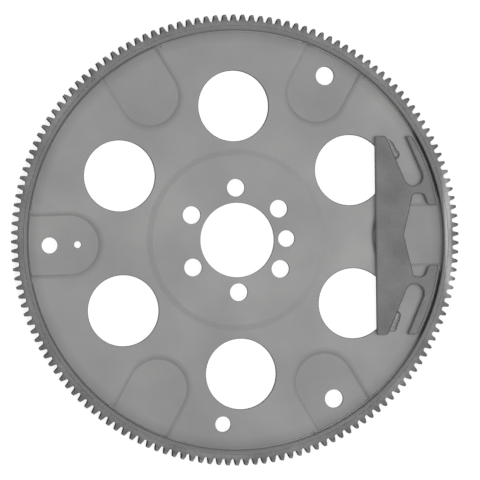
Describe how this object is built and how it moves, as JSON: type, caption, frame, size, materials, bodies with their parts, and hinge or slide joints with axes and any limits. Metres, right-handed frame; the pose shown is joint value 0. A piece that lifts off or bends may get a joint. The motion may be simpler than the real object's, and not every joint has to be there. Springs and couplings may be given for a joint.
{
  "type": "flexplate",
  "caption": "Round pressed steel flexplate with a toothed ring gear, lightening holes and a slotted balance weight, which joins an engine's crank to a torque converter.",
  "frame": {"origin": "on the crank axis, at the front face that seats on the crank", "axes": "+Z along the crank axis towards the engine, +X through the dowel hole and the balance weight"},
  "size_m": [0.328, 0.328, 0.0107],
  "materials": {
    "disc_steel": "bare pressed steel sheet, dull grey",
    "gear_steel": "induction-hardened steel, darker grey",
    "weight_steel": "bare mild steel plate, darker grey",
    "weld_metal": "weld bead, lightly scaled"
  },
  "bodies": {
    "root": {"drive_disc": "disc_steel", "ring_gear": "gear_steel", "balance_weight": "weight_steel", "ring_gear_welds": "weld_metal", "balance_weight_welds": "weld_metal"}
  },
  "joints": []
}
